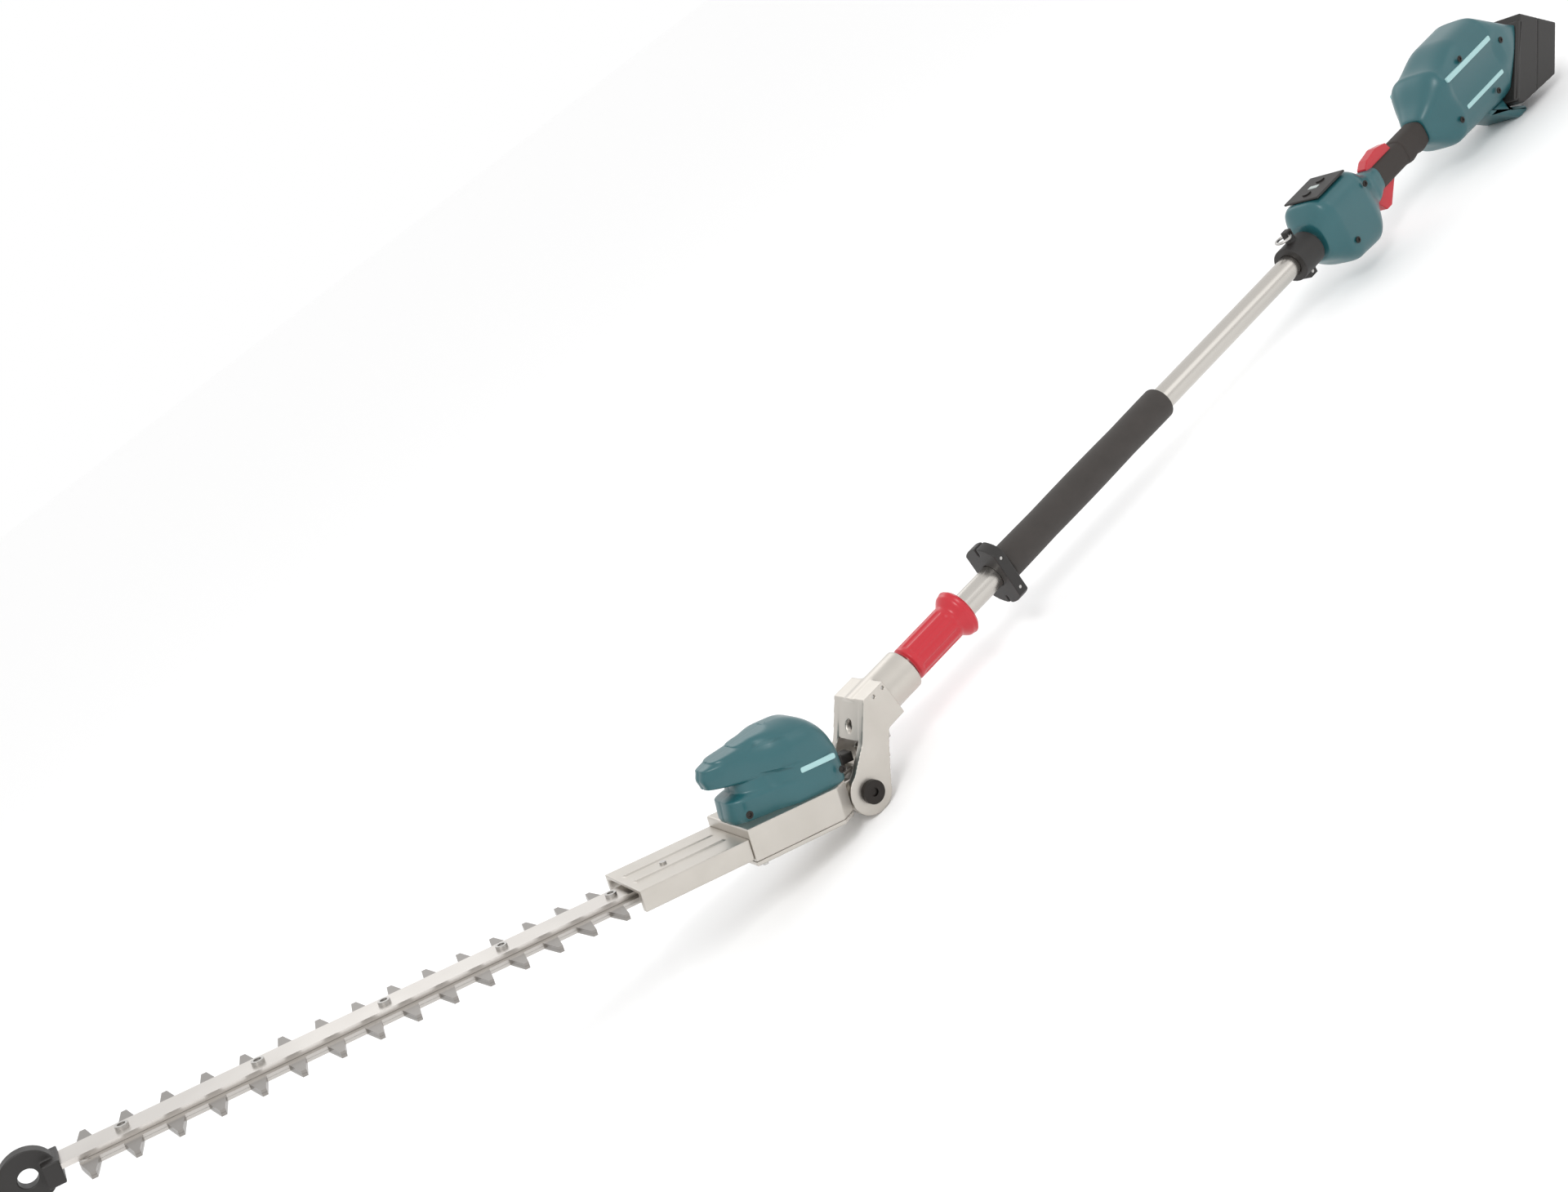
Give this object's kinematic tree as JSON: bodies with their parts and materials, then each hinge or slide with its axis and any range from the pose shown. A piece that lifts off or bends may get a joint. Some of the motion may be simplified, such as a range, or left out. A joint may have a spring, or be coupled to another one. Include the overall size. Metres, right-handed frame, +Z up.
{
  "type": "cordless pole hedge trimmer",
  "caption": "Cordless pole hedge trimmer: long shear blade on a tilting head, aluminium pipe with grip, trigger handle and rear battery.",
  "frame": {"origin": "below the middle of the length, on the middle plane, at the height of the ground that the tool rests on", "axes": "+X from the blade tip to the battery along the pipe, +Z up, +Y to the side away from the pivot cap"},
  "size_m": [1.915, 0.088, 0.3093],
  "materials": {
    "teal_plastic": "satin moulded nylon",
    "black_plastic": "fine matt moulded",
    "red_plastic": "satin moulded",
    "grip_rubber": "matt soft grip",
    "cast_aluminium": "fine blasted casting, clear coated",
    "pipe_aluminium": "drawn and anodised",
    "blade_steel": "ground and polished",
    "fastener_steel": "zinc plated or ground",
    "bush_brass": "turned",
    "motor_iron": "stacked laminations",
    "cable_black": "jacket",
    "board_green": "solder mask",
    "lens_clear": "clear window",
    "terminal_yellow": "glass filled nylon",
    "cell_wrap": "shrink wrapped cells"
  },
  "bodies": {
    "pole": {"battery_rails": "black_plastic", "control_board": "board_green", "control_panel": "black_plastic", "hand_stop": "black_plastic", "handle_overmould": "grip_rubber", "hanger_clamp": "black_plastic", "housing_screws": "fastener_steel", "indicator_lens": "lens_clear", "knuckle": "cast_aluminium", "lever_pins": "fastener_steel", "main_pipe": "pipe_aluminium", "pipe_cable": "cable_black", "pipe_grip": "grip_rubber", "pipe_screws": "fastener_steel", "pivot_bolt": "fastener_steel", "pivot_cap": "black_plastic", "power_board": "board_green", "rear_shell_left": "teal_plastic", "rear_shell_right": "teal_plastic", "sleeve_collar": "black_plastic", "sleeve_spring": "fastener_steel", "switch_unit": "black_plastic", "terminal_block": "terminal_yellow"},
    "head": {"index_disc": "cast_aluminium", "pivot_bushes": "bush_brass", "crank_bearings": "fastener_steel", "motor_base": "cast_aluminium", "motor_cap": "cast_aluminium", "motor_stator": "motor_iron", "motor_bearings": "fastener_steel", "guide_bar": "blade_steel", "blade_bolts": "fastener_steel", "blade_nuts": "fastener_steel", "gear_case": "cast_aluminium", "gear_case_cover": "cast_aluminium", "blade_guard": "cast_aluminium", "case_screws": "fastener_steel", "tip_protector": "black_plastic", "head_cover_left": "teal_plastic", "head_cover_right": "teal_plastic", "cable_boot": "grip_rubber", "cover_screws": "fastener_steel"},
    "crank": {"crank_gear": "fastener_steel", "crankshaft": "fastener_steel"},
    "rotor": {"rotor_core": "motor_iron", "motor_shaft": "fastener_steel"},
    "upper_shear": {"upper_blade": "blade_steel"},
    "lower_shear": {"lower_blade": "blade_steel"},
    "sleeve": {"release_sleeve": "red_plastic", "lock_slide": "fastener_steel"},
    "eye": {"hanger_ring": "fastener_steel"},
    "power_key": {"power_button": "black_plastic"},
    "reverse_key": {"reverse_button": "black_plastic"},
    "trigger": {"trigger": "red_plastic"},
    "lock_off": {"lock_off_lever": "red_plastic"},
    "battery": {"pack_lid": "black_plastic", "pack_case": "black_plastic", "battery_cells": "cell_wrap"},
    "battery_latch": {"battery_button": "red_plastic"}
  },
  "joints": [
    {"name": "head_tilt", "type": "hinge", "parent": "pole", "child": "head", "pos_m": [-0.27321, 0, 0.022], "axis": [0, 1, 0], "range_deg": [-91.6, 23.4]},
    {"name": "crank_spin", "type": "hinge", "parent": "head", "child": "crank", "pos_m": [-0.35796, 0, 0.05556], "axis": [0.3681, 0, 0.9298], "range_deg": [-90, 90]},
    {"name": "rotor_spin", "type": "hinge", "parent": "head", "child": "rotor", "pos_m": [-0.32714, 0, 0.04335], "axis": [0.3681, 0, 0.9298], "range_deg": [-405, 405]},
    {"name": "upper_blade_stroke", "type": "slide", "parent": "head", "child": "upper_shear", "axis": [-0.9298, 0, 0.3681], "range_m": [-0.0075, 0.0075]},
    {"name": "lower_blade_stroke", "type": "slide", "parent": "head", "child": "lower_shear", "axis": [-0.9298, 0, 0.3681], "range_m": [-0.0075, 0.0075]},
    {"name": "release_pull", "type": "slide", "parent": "pole", "child": "sleeve", "axis": [1, 0, 0], "range_m": [0, 0.01], "stiffness_N_per_m": 900, "springref_m": -0.004, "deforming": ["sleeve_spring"]},
    {"name": "eye_swing", "type": "hinge", "parent": "pole", "child": "eye", "pos_m": [0.48779, 0, 0.097], "axis": [0, 1, 0], "range_deg": [0, 175]},
    {"name": "power_press", "type": "slide", "parent": "pole", "child": "power_key", "axis": [0, 0, -1], "range_m": [0, 0.0012], "stiffness_N_per_m": 600, "springref_m": -0.001},
    {"name": "reverse_press", "type": "slide", "parent": "pole", "child": "reverse_key", "axis": [0, 0, -1], "range_m": [0, 0.0012], "stiffness_N_per_m": 600, "springref_m": -0.001},
    {"name": "trigger_pull", "type": "hinge", "parent": "pole", "child": "trigger", "pos_m": [0.66079, 0, 0.063], "axis": [0, 1, 0], "range_deg": [0, 9], "stiffness_Nm_per_rad": 0.6, "springref_deg": -17.19},
    {"name": "lock_off_press", "type": "hinge", "parent": "pole", "child": "lock_off", "pos_m": [0.66879, 0, 0.0775], "axis": [0, 1, 0], "range_deg": [-6, 0], "stiffness_Nm_per_rad": 0.6, "springref_deg": 17.19},
    {"name": "battery_slide", "type": "slide", "parent": "pole", "child": "battery", "axis": [0.6428, 0, 0.766], "range_m": [0, 0.1]},
    {"name": "latch_press", "type": "slide", "parent": "battery", "child": "battery_latch", "axis": [-0.6428, 0, -0.766], "range_m": [0, 0.0022], "stiffness_N_per_m": 900, "springref_m": -0.002}
  ],
  "couplings": [
    {"joint": "rotor_spin", "follows": "crank_spin", "ratio": -4.5},
    {"joint": "upper_blade_stroke", "follows": "crank_spin", "m_per_rad": 0.0047746},
    {"joint": "lower_blade_stroke", "follows": "crank_spin", "m_per_rad": -0.0047746}
  ]
}
